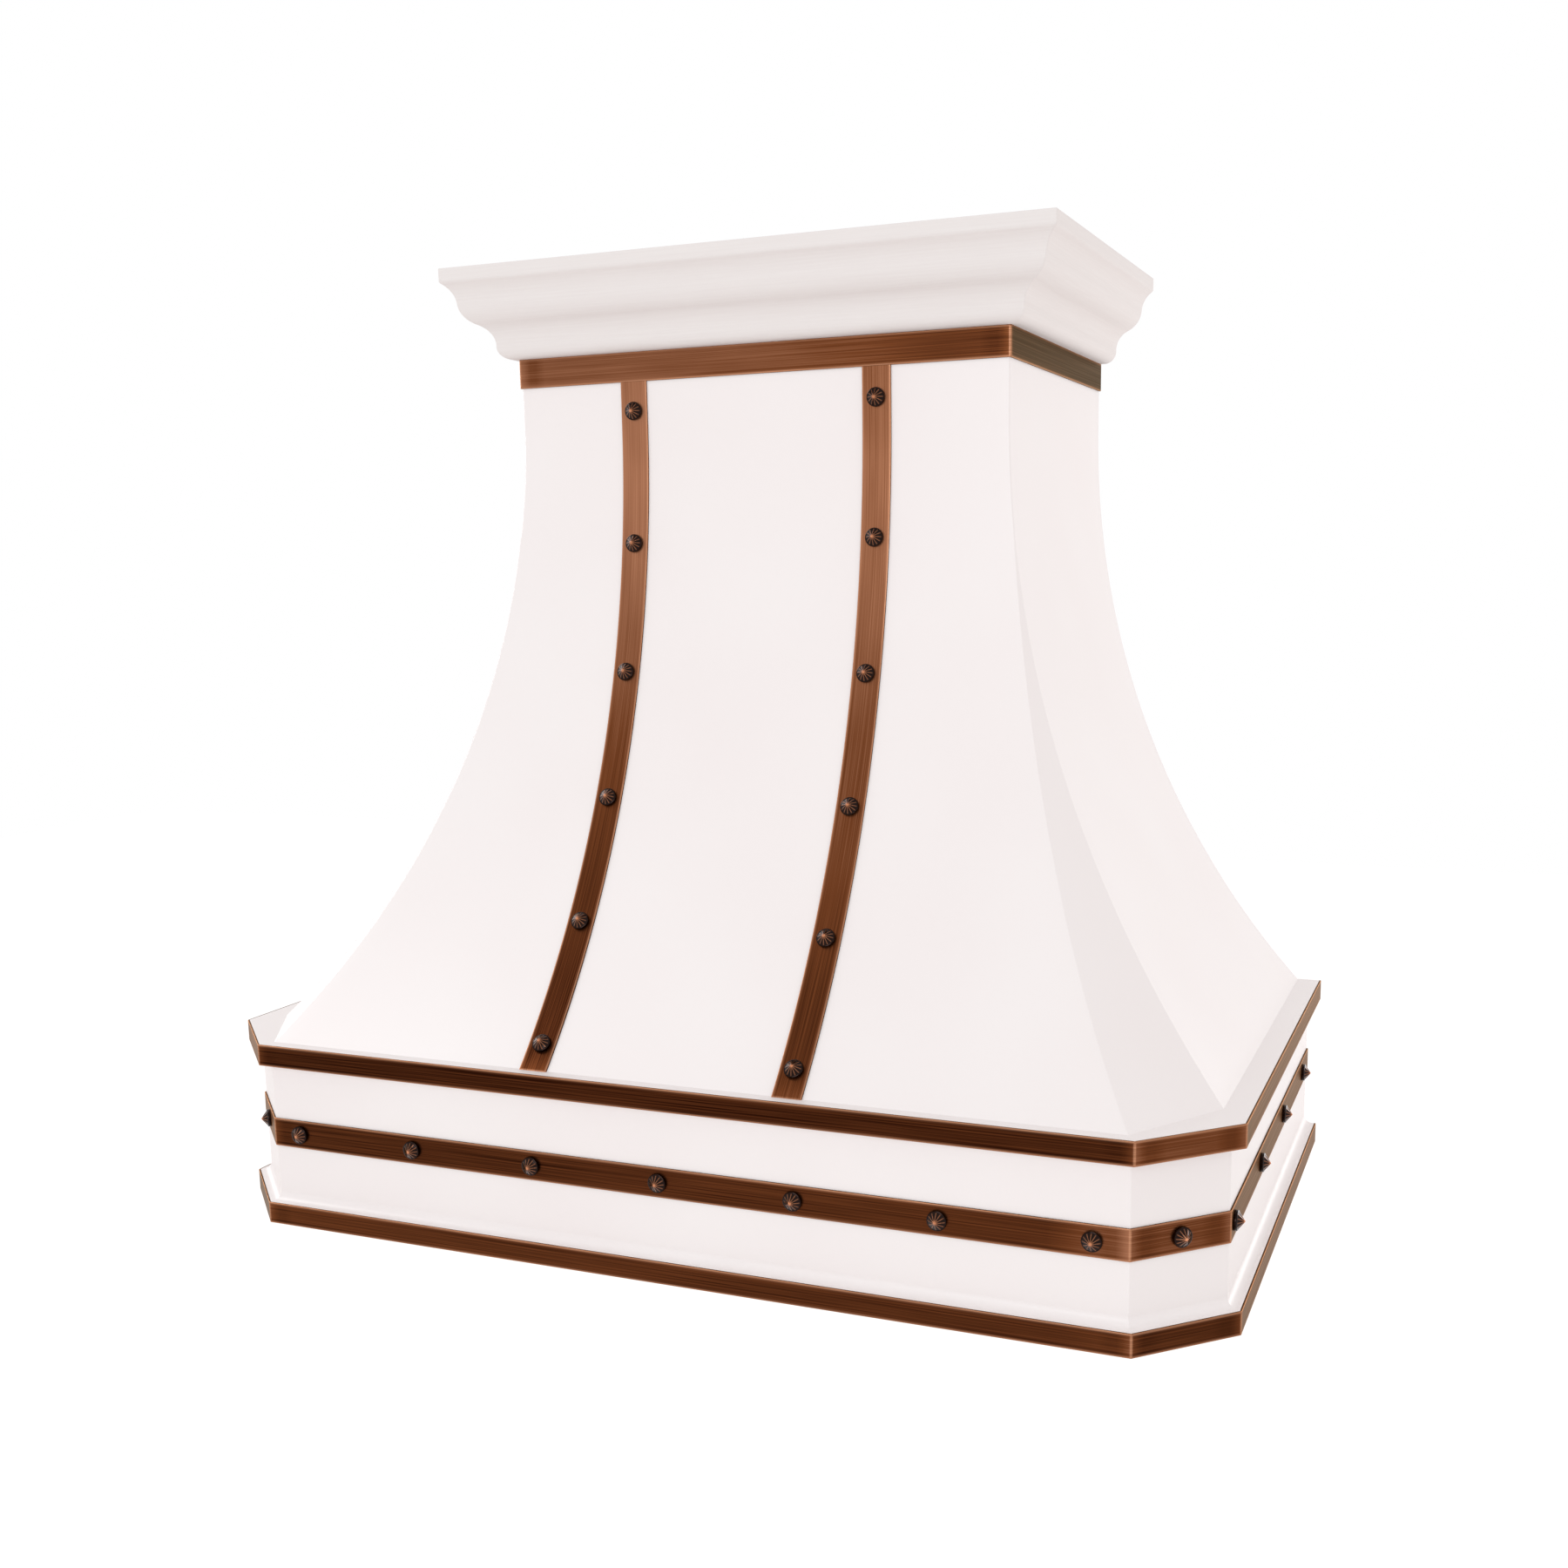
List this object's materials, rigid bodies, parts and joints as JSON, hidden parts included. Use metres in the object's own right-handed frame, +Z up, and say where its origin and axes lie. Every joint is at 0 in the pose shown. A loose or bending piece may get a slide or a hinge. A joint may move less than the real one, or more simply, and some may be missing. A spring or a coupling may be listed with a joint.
{
  "type": "range hood",
  "caption": "Wall-mounted range hood: a bell-shaped canopy curving out to a straight octagonal apron, with crown moulding, copper bands, straps and clavos.",
  "frame": {"origin": "middle of the base rectangle, on the plane of the lower rim's underside", "axes": "+Z up, +Y towards the wall, -Y the front, +X to the right seen from the front"},
  "size_m": [0.9144, 0.5462, 0.8382],
  "materials": {
    "white_enamel": "smooth white enamel",
    "painted_wood": "matt white paint",
    "antique_copper": "brushed antique copper",
    "frame_steel": "matt grey primer",
    "stainless": "brushed",
    "lamp_chrome": "satin",
    "lamp_glass": "frosted",
    "board": "matt",
    "switch_plastic": "matt black",
    "knob_chrome": "satin",
    "galvanised": "galvanised",
    "motor_paint": "satin black",
    "shaft_steel": "ground"
  },
  "bodies": {
    "hood": {"front_panel": "white_enamel", "left_side_panel": "white_enamel", "right_side_panel": "white_enamel", "left_corner_panel": "white_enamel", "right_corner_panel": "white_enamel", "upper_ledge": "white_enamel", "apron_front": "white_enamel", "apron_left": "white_enamel", "apron_right": "white_enamel", "lower_ledge": "white_enamel", "crown_front": "painted_wood", "crown_left": "painted_wood", "crown_right": "painted_wood", "top_band": "antique_copper", "upper_band": "antique_copper", "middle_band": "antique_copper", "lower_band": "antique_copper", "left_strap": "antique_copper", "right_strap": "antique_copper", "strap_clavos": "antique_copper", "band_clavos": "antique_copper", "top_frame": "frame_steel", "upper_wall_rail": "frame_steel", "lower_wall_rail": "frame_steel", "rail_screws": "frame_steel", "liner_pan": "stainless", "filter_pivots": "stainless", "liner_screws": "stainless", "left_lamp_housing": "lamp_chrome", "right_lamp_housing": "lamp_chrome", "left_lamp_lens": "lamp_glass", "right_lamp_lens": "lamp_glass", "lamp_boards": "board", "fan_switch": "switch_plastic", "light_switch": "switch_plastic", "plenum": "galvanised", "blower_box": "galvanised", "blower_scroll": "galvanised", "duct_collar": "galvanised", "damper_rods": "galvanised", "junction_box": "galvanised", "junction_box_cover": "galvanised", "collar_screws": "galvanised", "motor_bracket": "galvanised", "motor": "motor_paint"},
    "left_filter": {"left_filter_frame": "stainless", "left_filter_baffles": "stainless", "left_filter_handle": "stainless"},
    "centre_filter": {"centre_filter_frame": "stainless", "centre_filter_baffles": "stainless", "centre_filter_handle": "stainless"},
    "right_filter": {"right_filter_frame": "stainless", "right_filter_baffles": "stainless", "right_filter_handle": "stainless"},
    "fan_control": {"fan_knob": "knob_chrome"},
    "light_control": {"light_knob": "knob_chrome"},
    "fan_wheel": {"impeller": "galvanised", "motor_shaft": "shaft_steel"},
    "left_damper": {"left_damper_flap": "galvanised"},
    "right_damper": {"right_damper_flap": "galvanised"}
  },
  "joints": [
    {"name": "left_filter_hinge", "type": "hinge", "parent": "hood", "child": "left_filter", "pos_m": [-0.24399, 0.20055, 0.054], "axis": [1, 0, 0], "range_deg": [0, 75]},
    {"name": "centre_filter_hinge", "type": "hinge", "parent": "hood", "child": "centre_filter", "pos_m": [0, 0.20055, 0.054], "axis": [1, 0, 0], "range_deg": [0, 75]},
    {"name": "right_filter_hinge", "type": "hinge", "parent": "hood", "child": "right_filter", "pos_m": [0.24399, 0.20055, 0.054], "axis": [1, 0, 0], "range_deg": [0, 75]},
    {"name": "fan_knob_turn", "type": "hinge", "parent": "hood", "child": "fan_control", "pos_m": [-0.045, -0.19505, 0.045], "axis": [0, 0, 1], "range_deg": [0, 270]},
    {"name": "light_knob_turn", "type": "hinge", "parent": "hood", "child": "light_control", "pos_m": [0.045, -0.19505, 0.045], "axis": [0, 0, 1], "range_deg": [0, 270]},
    {"name": "fan_wheel_spin", "type": "hinge", "parent": "hood", "child": "fan_wheel", "pos_m": [0, 0.04505, 0.315], "axis": [1, 0, 0], "continuous": true},
    {"name": "left_damper_hinge", "type": "hinge", "parent": "hood", "child": "left_damper", "pos_m": [-0.0032, 0.10505, 0.446], "axis": [0, 1, 0], "range_deg": [0, 80]},
    {"name": "right_damper_hinge", "type": "hinge", "parent": "hood", "child": "right_damper", "pos_m": [0.0032, 0.10505, 0.446], "axis": [0, -1, 0], "range_deg": [0, 80]}
  ]
}
